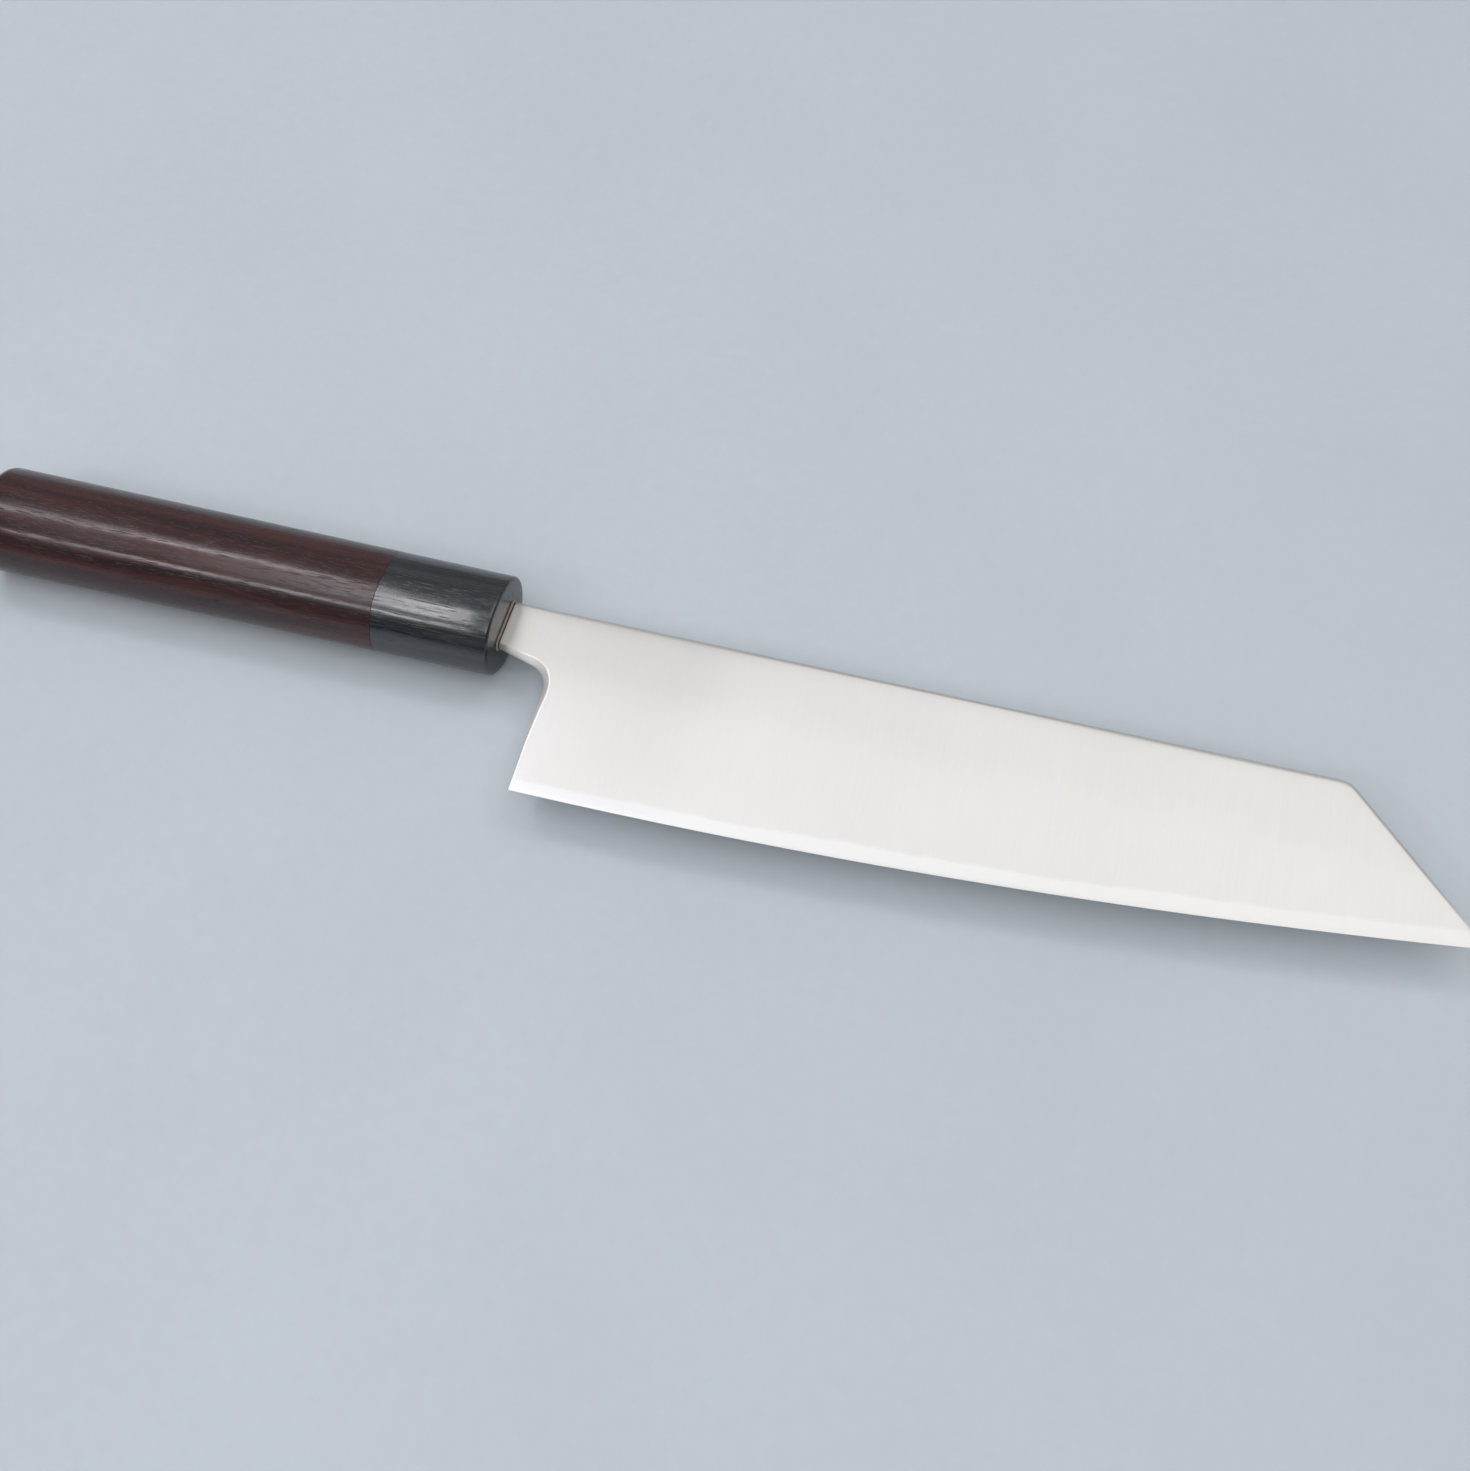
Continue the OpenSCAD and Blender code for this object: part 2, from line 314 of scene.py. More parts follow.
class Effects:
    """Shader groups that more than one finish uses, each built once."""

    # How the wood's grain wanders: waves per millimetre, and how far, in millimetres.
    BEND_WAVES = (0.018, 0.05, 0.05)
    BEND = 0.6
    # How much finer the lines are than the streaks, across and along the grain.
    FINER_ACROSS = 6.0
    FINER_ALONG = 2.5
    # The noise levels between which a pore opens.
    PORE_START = 0.60
    PORE_FULL = 0.70
    LINE_RELIEF = 0.6
    PORE_RELIEF = 0.8
    # The second, finer set of scratches: its stretch, and its share in the whole.
    FINE_SCRATCH = (3.1, 1.7, 1.0)
    FINE_SHARE = 0.4
    SCRATCH_LOW = 0.35
    SCRATCH_HIGH = 0.65

    def __init__(self) -> None:
        """Builds the groups."""
        self.grain = self._grain()
        self.scratches = self._scratches()
        self.cloud = self._cloud()
        self.rim = self._rim()

    @staticmethod
    def _start(name: str, inputs: dict, outputs: Sequence[str]) -> tuple[Sheet, dict, bpy.types.Node]:
        """Makes an empty group with its sockets.

        Args:
            name: Name of the group.
            inputs: Input names with their defaults; None makes a vector input.
            outputs: Names of the float outputs.

        Returns:
            The sheet to build on, the inputs by name, and the output node.
        """
        tree = bpy.data.node_groups.new(name, "ShaderNodeTree")
        for label, default in inputs.items():
            kind = "NodeSocketVector" if default is None else "NodeSocketFloat"
            socket = tree.interface.new_socket(name=label, in_out="INPUT", socket_type=kind)
            if default is not None:
                socket.default_value = default
        for label in outputs:
            tree.interface.new_socket(name=label, in_out="OUTPUT", socket_type="NodeSocketFloat")
        sheet = Sheet(tree)
        entry = sheet.add("NodeGroupInput")
        return sheet, {label: entry.outputs[label] for label in inputs}, sheet.add("NodeGroupOutput")

    def _grain(self) -> bpy.types.NodeTree:
        """Builds lengthwise wood grain.

        Returns:
            The group, which gives broad streaks, fine lines, pores and their height.
        """
        sizes = {"Streak Width": 3.0, "Streak Length": 60.0, "Pore Width": 0.2, "Pore Length": 3.0}
        results = ("Streaks", "Lines", "Pores", "Height")
        sheet, ins, out = self._start("wood_grain", {"Vector": None} | sizes, results)
        mm = sheet.stretched(ins["Vector"], (PER_METRE,) * 3)
        shift = sheet.full(sheet.noise(sheet.stretched(mm, self.BEND_WAVES), 1.0), -self.BEND, self.BEND)
        shifted = sheet.add("ShaderNodeCombineXYZ", {1: shift, 2: shift}).outputs[0]
        bent = sheet.add("ShaderNodeVectorMath", {0: mm, 1: shifted}, operation="ADD").outputs[0]
        across, along, pore_across, pore_along = [sheet.math("DIVIDE", 1.0, ins[size]) for size in sizes]
        streaks = sheet.noise(sheet.stretched(bent, (along, across, across)), 3.0, 0.55)
        across = sheet.math("MULTIPLY", across, self.FINER_ACROSS)
        along = sheet.math("MULTIPLY", along, self.FINER_ALONG)
        lines = sheet.noise(sheet.stretched(bent, (along, across, across)), 3.0, 0.65)
        dashes = sheet.noise(sheet.stretched(bent, (pore_along, pore_across, pore_across)), 1.0)
        pores = sheet.remap(dashes, self.PORE_START, self.PORE_FULL)
        raised = sheet.math("MULTIPLY", lines, self.LINE_RELIEF)
        height = sheet.math("SUBTRACT", raised, sheet.math("MULTIPLY", pores, self.PORE_RELIEF))
        sheet.feed(out, dict(enumerate((sheet.full(streaks), sheet.full(lines), pores, height))))
        return sheet.tree

    def _scratches(self) -> bpy.types.NodeTree:
        """Builds fine straight scratches that run from the spine to the edge.

        Returns:
            The group, which gives the lines and their height.
        """
        inputs = {"Vector": None, "Spacing": 0.4, "Length": 14.0, "Slant": 0.05}
        sheet, ins, out = self._start("spine_to_edge_scratches", inputs, ("Lines", "Height"))
        mm = sheet.stretched(ins["Vector"], (PER_METRE,) * 3)
        parts = sheet.add("ShaderNodeSeparateXYZ", {0: mm}).outputs
        leaned = sheet.math("ADD", parts[0], sheet.math("MULTIPLY", parts[1], ins["Slant"]))
        across = sheet.math("DIVIDE", leaned, ins["Spacing"])
        along = sheet.math("DIVIDE", parts[1], ins["Length"])
        flat = sheet.add("ShaderNodeCombineXYZ", {0: across, 1: along, 2: 0.0}).outputs[0]
        coarse = sheet.math("MULTIPLY", sheet.noise(flat, 2.0, 0.6), 1.0 - self.FINE_SHARE)
        fine = sheet.noise(sheet.stretched(flat, self.FINE_SCRATCH), 2.0, 0.6)
        lines = sheet.math("ADD", coarse, sheet.math("MULTIPLY", fine, self.FINE_SHARE))
        sheet.feed(out, {0: sheet.remap(lines, self.SCRATCH_LOW, self.SCRATCH_HIGH), 1: lines})
        return sheet.tree

    def _cloud(self) -> bpy.types.NodeTree:
        """Builds a soft uneven tone, such as handling leaves.

        Returns:
            The group, which gives the tone.
        """
        inputs = {"Vector": None, "Size": 12.0, "Low": 0.0, "High": 1.0}
        sheet, ins, out = self._start("uneven_tone", inputs, ("Tone",))
        waves = sheet.math("DIVIDE", PER_METRE, ins["Size"])
        tone = sheet.noise(sheet.stretched(ins["Vector"], (waves,) * 3), 3.0, 0.55)
        sheet.feed(out, {0: sheet.full(tone, ins["Low"], ins["High"])})
        return sheet.tree

    def _rim(self) -> bpy.types.NodeTree:
        """Builds a mask of the rims, where the steel turns away from its flat faces.

        Returns:
            The group, which gives the mask.
        """
        inputs = {"Normal": None, "Start": 0.003, "Full": 0.025}
        sheet, ins, out = self._start("turned_rim", inputs, ("Rim",))
        parts = sheet.add("ShaderNodeSeparateXYZ", {0: ins["Normal"]})
        turned = sheet.math("SUBTRACT", 1.0, sheet.math("ABSOLUTE", parts.outputs[2]))
        sheet.feed(out, {0: sheet.remap(turned, ins["Start"], ins["Full"])})
        return sheet.tree


def new_material(name: str) -> tuple[bpy.types.Material, Sheet, bpy.types.Node, bpy.types.Node]:
    """Makes a material with its Principled BSDF and its texture coordinates.

    Args:
        name: Name of the material.

    Returns:
        The material, the sheet of its tree, the shader and the coordinates.
    """
    material = bpy.data.materials.new(name)
    material.use_nodes = True
    material.node_tree.nodes.clear()
    sheet = Sheet(material.node_tree)
    place = sheet.add("ShaderNodeTexCoord")
    shader = sheet.add("ShaderNodeBsdfPrincipled")
    sheet.add("ShaderNodeOutputMaterial", {0: shader.outputs[0]})
    return material, sheet, shader, place


@dataclass(frozen=True)
class SteelFinish:
    """Satin steel with scratches from spine to edge, a thin gloss on its flats and duller rims."""

    name: str
    light: Colour
    dark: Colour
    scratch_depth: float
    roughness: float = 0.38
    uneven: float = 0.05
    rim_roughness: float = 0.55
    scratch_spacing: float = 0.45
    scratch_length: float = 16.0
    scratch_slant: float = 0.06
    scratch_shade: float = 0.25
    scratch_relief: float = 0.00001
    cloud_size: float = 30.0
    cloud_shade: float = 0.5
    polished: Colour = rgb(0.85, 0.845, 0.84)
    polish_top: float = 0.8
    waver: float = 0.4
    waver_size: float = 5.0
    gloss: float = 0.7
    gloss_ior: float = 2.0
    gloss_roughness: float = 0.1

    def build(self, effects: Effects) -> bpy.types.Material:
        """Builds the material.

        Args:
            effects: The shared shader groups.

        Returns:
            The material.
        """
        material, sheet, shader, place = new_material(self.name)
        where = place.outputs["Object"]
        sizes = {
            "Vector": where,
            "Spacing": self.scratch_spacing,
            "Length": self.scratch_length,
            "Slant": self.scratch_slant,
        }
        lines = sheet.group(effects.scratches, sizes)
        cloud = sheet.group(effects.cloud, {"Vector": where, "Size": self.cloud_size})
        rim = sheet.group(effects.rim, {"Normal": place.outputs["Normal"]}).outputs["Rim"]
        shade = sheet.math("MULTIPLY", lines.outputs["Lines"], self.scratch_shade)
        shade = sheet.math("ADD", shade, sheet.math("MULTIPLY", cloud.outputs["Tone"], self.cloud_shade))
        colour = sheet.blend(shade, self.light, self.dark)
        chart = sheet.add("ShaderNodeUVMap", uv_map=EDGE_CHART)
        above = sheet.add("ShaderNodeSeparateXYZ", {0: chart.outputs[0]}).outputs[1]
        above = sheet.math("MULTIPLY", above, CHART_HEIGHT)
        swing = {"Vector": where, "Size": self.waver_size, "Low": -self.waver, "High": self.waver}
        above = sheet.math("ADD", above, sheet.group(effects.cloud, swing).outputs["Tone"])
        polish = sheet.remap(above, self.polish_top, -self.polish_top)
        roughest = self.roughness + self.uneven
        satin = sheet.remap(lines.outputs["Lines"], 0.0, 1.0, self.roughness, roughest)
        rough = sheet.add("ShaderNodeMix", {0: rim, 2: satin, 3: self.rim_roughness}, data_type="FLOAT")
        surface = {
            "Base Color": sheet.blend(polish, colour, self.polished),
            "Roughness": rough.outputs[0],
            "Normal": sheet.bump(lines.outputs["Height"], self.scratch_depth, self.scratch_relief),
            "Coat Weight": sheet.remap(rim, 0.0, 1.0, self.gloss, 0.0),
            "Metallic": 1.0,
            "Coat IOR": self.gloss_ior,
            "Coat Roughness": self.gloss_roughness,
        }
        sheet.feed(shader, surface)
        return material


@dataclass(frozen=True)
class WoodFinish:
    """Wood with lengthwise grain."""

    name: str
    dark: Colour
    middle: Colour
    light: Colour
    pore: Colour
    streak_width: float
    streak_length: float
    pore_width: float
    pore_length: float
    roughness: float
    relief: float
    ior: float = 1.5
    relief_height: float = 0.00006
    dark_until: float = 0.12
    middle_at: float = 0.5
    light_from: float = 0.9
    line_shade: float = 0.55
    smoother: float = 0.03
    rougher: float = 0.07
    pore_rougher: float = 0.2
    handled_size: float = 20.0
    handled: tuple[float, float] = (-0.03, 0.05)

    def build(self, effects: Effects) -> bpy.types.Material:
        """Builds the material.

        Args:
            effects: The shared shader groups.

        Returns:
            The material.
        """
        material, sheet, shader, place = new_material(self.name)
        where = place.outputs["Object"]
        sizes = {
            "Vector": where,
            "Streak Width": self.streak_width,
            "Streak Length": self.streak_length,
            "Pore Width": self.pore_width,
            "Pore Length": self.pore_length,
        }
        grain = sheet.group(effects.grain, sizes).outputs
        low, high = self.handled
        handling = {"Vector": where, "Size": self.handled_size, "Low": low, "High": high}
        cloud = sheet.group(effects.cloud, handling)
        ramp = sheet.add("ShaderNodeValToRGB", {0: grain["Streaks"]})
        stops = ramp.color_ramp.elements
        stops[0].position = self.dark_until
        stops[0].color = self.dark
        stops[1].position = self.light_from
        stops[1].color = self.light
        stops.new(self.middle_at).color = self.middle
        lined = sheet.math("MULTIPLY", grain["Lines"], self.line_shade)
        colour = sheet.blend(lined, ramp.outputs[0], self.dark)
        smoothest = self.roughness - self.smoother
        rough = sheet.remap(grain["Lines"], 0.0, 1.0, smoothest, self.roughness + self.rougher)
        rough = sheet.math("ADD", rough, cloud.outputs["Tone"])
        open_pores = sheet.math("MULTIPLY", grain["Pores"], self.pore_rougher)
        surface = {
            "Base Color": sheet.blend(grain["Pores"], colour, self.pore),
            "Roughness": sheet.math("ADD", rough, open_pores),
            "IOR": self.ior,
            "Normal": sheet.bump(grain["Height"], self.relief, self.relief_height),
        }
        sheet.feed(shader, surface)
        return material


@dataclass(frozen=True)
class ResinFinish:
    """Cast resin with a faintly uneven tone, also used for a dark line of painted shade."""

    name: str
    light: Colour
    dark: Colour
    roughness: float
    uneven: float = 0.12
    cloud_size: float = 1.5
    relief: float = 0.3
    relief_height: float = 0.00003

    def build(self, effects: Effects) -> bpy.types.Material:
        """Builds the material.

        Args:
            effects: The shared shader groups.

        Returns:
            The material.
        """
        material, sheet, shader, place = new_material(self.name)
        values = {"Vector": place.outputs["Object"], "Size": self.cloud_size}
        tone = sheet.group(effects.cloud, values).outputs["Tone"]
        surface = {
            "Base Color": sheet.blend(tone, self.light, self.dark),
            "Roughness": sheet.remap(tone, 0.0, 1.0, self.roughness, self.roughness + self.uneven),
            "Normal": sheet.bump(tone, self.relief, self.relief_height),
        }
        sheet.feed(shader, surface)
        return material


CLAD_STEEL = SteelFinish("satin_cladding", rgb(0.81, 0.795, 0.775), rgb(0.75, 0.735, 0.715), 0.3)
CORE_STEEL = SteelFinish("bright_core", rgb(0.86, 0.85, 0.835), rgb(0.81, 0.80, 0.785), 0.2)
ROSEWOOD = WoodFinish(
    name="rosewood",
    dark=rgb(0.030, 0.012, 0.013),
    middle=rgb(0.060, 0.018, 0.018),
    light=rgb(0.090, 0.028, 0.025),
    pore=rgb(0.014, 0.007, 0.007),
    streak_width=2.6,
    streak_length=70.0,
    pore_width=0.22,
    pore_length=4.0,
    roughness=0.16,
    relief=0.35,
    ior=1.58,
)
BLACK_WOOD = WoodFinish(
    name="dyed_black_wood",
    dark=rgb(0.005, 0.006, 0.008),
    middle=rgb(0.015, 0.017, 0.024),
    light=rgb(0.036, 0.040, 0.052),
    pore=rgb(0.003, 0.003, 0.004),
    streak_width=2.0,
    streak_length=40.0,
    pore_width=0.25,
    pore_length=6.0,
    roughness=0.13,
    relief=0.3,
    ior=1.88,
)
BEECH = WoodFinish(
    name="bare_beech",
    dark=rgb(0.42, 0.27, 0.15),
    middle=rgb(0.52, 0.35, 0.20),
    light=rgb(0.60, 0.43, 0.26),
    pore=rgb(0.30, 0.18, 0.10),
    streak_width=4.0,
    streak_length=40.0,
    pore_width=0.25,
    pore_length=1.6,
    roughness=0.60,
    relief=0.4,
)
AMBER_RESIN = ResinFinish("amber_seal", rgb(0.46, 0.35, 0.27), rgb(0.34, 0.25, 0.18), 0.3)
# A dark brown finish for the thin line beside the amber bead: painted shade that darkens the gap next to
# the steel.
PAINTED_SHADE_LINE = ResinFinish("painted_shade_line", rgb(0.035, 0.026, 0.022), rgb(0.02, 0.015, 0.012), 0.35)
BEDDING_RESIN = ResinFinish("bedding_resin", rgb(0.70, 0.48, 0.18), rgb(0.58, 0.38, 0.14), 0.30)


# Blade


def arc(centre: Sequence[float], radius: float, start: float, end: float, steps: int) -> np.ndarray:
    """Returns an arc's points, an array of shape (steps + 1, 2), between two angles in degrees."""
    angles = np.radians(np.linspace(start, end, steps + 1))
    return np.column_stack([centre[0] + radius * np.cos(angles), centre[1] + radius * np.sin(angles)])


def walk(line: np.ndarray, shares: np.ndarray) -> np.ndarray:
    """Returns the points at given shares of a polyline's length.

    Args:
        line: Array of shape (n, 2).
        shares: Shares of the length, from 0 to 1.

    Returns:
        Array of shape (len(shares), 2).
    """
    steps = np.linalg.norm(np.diff(line, axis=0), axis=1)
    run = np.concatenate([[0.0], np.cumsum(steps)])
    wanted = np.asarray(shares) * run[-1]
    return np.column_stack([np.interp(wanted, run, line[:, 0]), np.interp(wanted, run, line[:, 1])])


def spread(steps: Sequence[float]) -> np.ndarray:
    """Turns step lengths into shares of the whole, from 0 to 1."""
    run = np.concatenate([[0.0], np.cumsum(steps)])
    return run / run[-1]


def distance_to(line: np.ndarray, points: np.ndarray) -> tuple[np.ndarray, np.ndarray]:
    """Measures how far points are from a polyline.

    Args:
        line: Array of shape (n, 2).
        points: Array of shape (m, 2).

    Returns:
        The distances, and the length along the polyline at which each nearest point lies.
    """
    best = np.full(len(points), np.inf)
    place = np.zeros(len(points))
    run = 0.0
    for first, last in zip(line[:-1], line[1:]):
        span = last - first
        length = float(np.hypot(*span))
        share = np.clip((points - first) @ span / length**2, 0.0, 1.0)
        gap = np.linalg.norm(points - first - share[:, None] * span, axis=1)
        closer = gap < best
        best = np.where(closer, gap, best)
        place = np.where(closer, run + share * length, place)
        run += length
    return best, place


def soft_min(first: np.ndarray, second: np.ndarray, width: float) -> np.ndarray:
    """Returns the smaller of two values, rounded where they differ by less than the width."""
    near = np.maximum(width - np.abs(first - second), 0.0) / width
    return np.minimum(first, second) - near * near * width / 4.0


@dataclass
class Blade:
    """The laminated blade: a hard core between two soft claddings, with neck and tang."""

    length: float = 210.0
    heel: tuple[float, float] = (14.8, -40.5)
    edge_rise: float = 15.0
    spine_y: float = 6.5
    tip_angle: float = 44.5
    tip_corner_r: float = 5.0
    spine_half: float = 1.1
    tip_half: float = 0.55
    tang_end_half: float = 0.9
    taper_start: float = 70.0
    early_taper: float = 0.6
    core_half: float = 0.25
    core_growth: float = 0.02
    grind_h: float = 30.0
    grind_blend: float = 0.1
    bulge: float = 0.06
    bevel_half: float = 0.1
    bevel_at_heel: float = 0.45
    bevel_growth: float = 0.55
    bevel_curve: float = 1.5
    edge_half: float = 0.02
    neck_bottom: float = -5.9
    neck_corner: tuple[float, float] = (14.0, -9.8)
    choil_r: float = 7.0
    tang_len: float = 95.0
    tang_end: tuple[float, float] = (-2.7, 3.3)
    skin: float = 0.004
    # The seam between core and cladding: its height at the heel, how it climbs, and its waves,
    # each with its swing, the length in which it turns by one radian, and its phase.
    seam_at_heel: float = 2.5
    seam_climb: float = 1.25
    seam_reach: float = 38.0
    seam_waves: tuple[tuple[float, float, float], ...] = (
        (0.16, 11.3, 0.6),
        (0.12, 5.9, 2.1),
        (0.06, 2.7, 4.0),
        (0.04, 1.55, 1.0),
    )
    # The eased rim along choil, neck and tang: places along it from the heel, and its width and
    # depth there, the depth as a share of the steel's half thickness.
    rim_marks: tuple[float, ...] = (0.0, 6.0, 10.8, 14.5, 21.0, 27.5, 31.0, 35.0, 38.0, 44.0, 139.0)
    rim_widths: tuple[float, ...] = (0.12, 0.15, 0.25, 0.5, 0.95, 1.4, 1.65, 1.4, 1.1, 0.95, 0.3)
    rim_depths: tuple[float, ...] = (0.2, 0.2, 0.2, 0.25, 0.4, 0.6, 0.75, 0.85, 0.85, 0.85, 0.2)
    spine_roll: float = 4.0
    roll_depth: float = 0.1
    spine_ease: float = 0.55
    spine_drop: float = 0.3
    chamfer_share: float = 0.85
    # How the surface is divided: the steps are millimetres, finer where the steel bends.
    bevel_rows: int = 4
    choil_steps: tuple[float, ...] = (1.22,) * 18 + (0.56,) * 8
    neck_steps: tuple[float, ...] = (
        (0.22,) * 11 + (0.5, 0.9) + (1.24,) * 7 + (0.8,) * 3 + (0.5, 0.3, 0.16, 0.1, 0.08)
    )
    left_steps: tuple[float, ...] = (0.1, 0.14) + (0.2,) * 10 + (0.3, 0.45, 0.7, 1.05)
    right_steps: tuple[float, ...] = (1.1, 0.8, 0.6, 0.45, 0.35, 0.25, 0.15, 0.1)
    even_step: float = 1.5
    even_share: float = 0.93
    fillet_lean: float = 0.9
    choil_arc_steps: int = 16
    tip_arc_steps: int = 12
    fillet_cells: int = 8
    neck_cells: int = 16
    tang_cells: int = 12
    # The search for the seam's ends: where it starts behind the tip, and how often it steps.
    tip_guess: float = 3.0
    search_rounds: int = 12

    def __post_init__(self) -> None:
        """Works out the edge's arc and lays out the points of the sheet."""
        self.edge_r = (self.length**2 + self.edge_rise**2) / (2.0 * self.edge_rise)
        self.centre = np.array([self.heel[0], self.heel[1] + self.edge_r])
        self.tip = np.array([self.heel[0] + self.length, self.heel[1] + self.edge_rise])
        self._draw_outlines()
        self._lay_out()

    def _draw_outlines(self) -> None:
        """Draws the outlines of the choil and neck and of the spine and clipped tip."""
        corner = np.array(self.neck_corner)
        to_neck = np.array([0.0, self.neck_bottom]) - corner
        to_heel = np.array(self.heel) - corner
        to_neck /= np.linalg.norm(to_neck)
        to_heel /= np.linalg.norm(to_heel)
        half = math.acos(float(to_neck @ to_heel)) / 2.0
        middle = to_neck + to_heel
        centre = corner + middle / np.linalg.norm(middle) * self.choil_r / math.sin(half)
        first = corner + to_heel * self.choil_r / math.tan(half) - centre
        last = corner + to_neck * self.choil_r / math.tan(half) - centre
        start = math.degrees(math.atan2(first[1], first[0]))
        end = math.degrees(math.atan2(last[1], last[0]))
        mid = (start + end) / 2.0
        low = arc(centre, self.choil_r, start, mid, self.choil_arc_steps)
        high = arc(centre, self.choil_r, mid, end, self.choil_arc_steps)
        self.choil = np.vstack([[self.heel], low])
        self.neck_under = np.vstack([high, [[0.0, self.neck_bottom]]])
        self.tang_under = np.array([[0.0, self.neck_bottom], [-self.tang_len, self.tang_end[0]]])
        self.under = np.vstack([self.choil, high[1:], self.tang_under])

        slope = math.radians(self.tip_angle)
        corner_x = self.tip[0] - (self.spine_y - self.tip[1]) / math.tan(slope)
        reach = self.tip_corner_r * math.tan(slope / 2.0)
        round_at = (corner_x - reach, self.spine_y - self.tip_corner_r)
        flat = 90.0 - self.tip_angle
        mid = 90.0 - self.tip_angle / 2.0
        clip = arc(round_at, self.tip_corner_r, flat, mid, self.tip_arc_steps)
        self.tip_side = np.vstack([[self.tip], clip])
        self.spine_side = arc(round_at, self.tip_corner_r, mid, 90.0, self.tip_arc_steps)
        self.above = np.vstack([self.tip_side, self.spine_side[1:], [[-self.tang_len, self.spine_y]]])

    def edge_height(self, points: np.ndarray) -> np.ndarray:
        """Measures how far points of shape (n, 2) lie above the cutting edge, in millimetres."""
        return self.edge_r - np.linalg.norm(points - self.centre, axis=1)

    def seam_height(self, share: np.ndarray) -> np.ndarray:
        """Gives the height of the wavy seam between core and cladding above the edge.

        Args:
            share: Place along the blade, 0 at the heel and 1 at the tip.

        Returns:
            Heights in millimetres.
        """
        place = share * self.length
        height = self.seam_at_heel + self.seam_climb * (1.0 - np.exp(-place / self.seam_reach))
        for swing, length, phase in self.seam_waves:
            height = height + swing * np.sin(place / length + phase)
        return height

    def bevel_height(self, share: np.ndarray) -> np.ndarray:
        """Gives the height of the sharpening bevel, which widens to the tip."""
        return self.bevel_at_heel + self.bevel_growth * share**self.bevel_curve

    def _above_edge(self, along: float, height: float) -> np.ndarray:
        """Returns the point at a height above the edge point at the given x.

        Args:
            along: The edge point's x.
            height: Height above it, square to the edge.

        Returns:
            The point.
        """
        drop = math.sqrt(self.edge_r**2 - (along - self.centre[0]) ** 2)
        on_edge = np.array([along, self.centre[1] - drop])
        return on_edge + (self.centre - on_edge) / self.edge_r * height

    def _seam_end(self, line: np.ndarray, height: float, guess: float) -> float:
        """Finds the edge point above which the seam meets one of the blade's ends.

        Args:
            line: Two points of that end.
            height: Height of the seam there.
            guess: Where the search starts.

        Returns:
            The edge point's x.
        """
        along = guess
        for _ in range(self.search_rounds):
            point = self._above_edge(along, height)
            share = (point[1] - line[0][1]) / (line[1][1] - line[0][1])
            along += line[0][0] + share * (line[1][0] - line[0][0]) - point[0]
        return along

    def _lay_out(self) -> None:
        """Lays out the sheet's rows and columns on the outline of the steel."""
        # The columns along the edge and the seam.
        even = self.length * self.even_share - sum(self.left_steps) - sum(self.right_steps)
        cells = round(even / self.even_step)
        across = spread(self.left_steps + (even / cells,) * cells + self.right_steps)
        edge_x = self.heel[0] + self.length * across
        edge = np.array([self._above_edge(x, 0.0) for x in edge_x])
        heights = self.seam_height(across)
        first = self._seam_end(self.choil[:2], heights[0], self.heel[0])
        last = self._seam_end(self.tip_side[:2], heights[-1], self.tip[0] - self.tip_guess)
        seam_x = first + (last - first) * across
        seam = np.array([self._above_edge(x, h) for x, h in zip(seam_x, heights)])

        # The rows from the edge over the bevel to the seam.
        shares = self.bevel_height(across) / heights
        strip = [edge]
        for row in range(self.bevel_rows + 1):
            lift = shares + (1.0 - shares) * row / self.bevel_rows
            strip.append(edge + (seam - edge) * lift[:, None])
        low = np.stack(strip[:-1], axis=1)

        # The rows from the seam to the spine, blended between the four sides of that part.
        choil = walk(np.vstack([seam[:1], self.choil[1:]]), spread(self.choil_steps))
        fillet_mid = choil[-1]
        top_left = np.array([fillet_mid[0] + self.fillet_lean, self.spine_y])
        rise = spread(self.neck_steps)
        inner = fillet_mid + (top_left - fillet_mid) * rise[:, None]
        left = np.vstack([choil, inner[1:]])
        climb = sum(self.choil_steps) + rise[1:] * (self.spine_y - fillet_mid[1])
        run = np.concatenate([np.cumsum((0.0,) + self.choil_steps), climb])
        up = run / run[-1]
        right = walk(np.vstack([seam[-1:], self.tip_side[1:]]), up)
        top = walk(np.vstack([[top_left], self.spine_side[::-1]]), across)
        s = across[:, None, None]
        t = up[None, :, None]
        corners = (1 - s) * ((1 - t) * left[0] + t * left[-1])
        corners = corners + s * ((1 - t) * right[0] + t * right[-1])
        sides = (1 - s) * left[None] + s * right[None]
        high = (1 - t) * seam[:, None] + t * top[:, None] + sides - corners
        blade = np.concatenate([low, high], axis=1)

        # The neck and the tang, which share the rows above the fillet.
        self.seam_row = low.shape[1]
        self.neck_row = self.seam_row + len(self.choil_steps)
        bend = self.choil_arc_steps
        lines = (self.neck_under[: bend + 1], self.neck_under[bend:], self.tang_under)
        counts = (self.fillet_cells, self.neck_cells, self.tang_cells)
        runs = [walk(line, np.linspace(0.0, 1.0, count + 1))[1:] for line, count in zip(lines, counts)]
        under = np.vstack(runs)[::-1]
        over = under.copy()
        drop = (self.spine_y - self.tang_end[1]) / self.tang_len
        over[:, 0] = np.where(under[:, 0] > 0.0, under[:, 0] * top_left[0] / fillet_mid[0], under[:, 0])
        over[:, 1] = self.spine_y + drop * np.minimum(under[:, 0], 0.0)
        self.neck_columns = len(under)
        self.sheet = np.zeros((len(under) + blade.shape[0], blade.shape[1], 2))
        self.sheet[self.neck_columns :] = blade
        lifted = under[:, None] + (over - under)[:, None] * rise[None, :, None]
        self.sheet[: self.neck_columns, self.neck_row :] = lifted
        seam_z = self.outer_half(seam)
        self.seam_z = np.concatenate([np.full(self.neck_columns, seam_z[0]), seam_z])

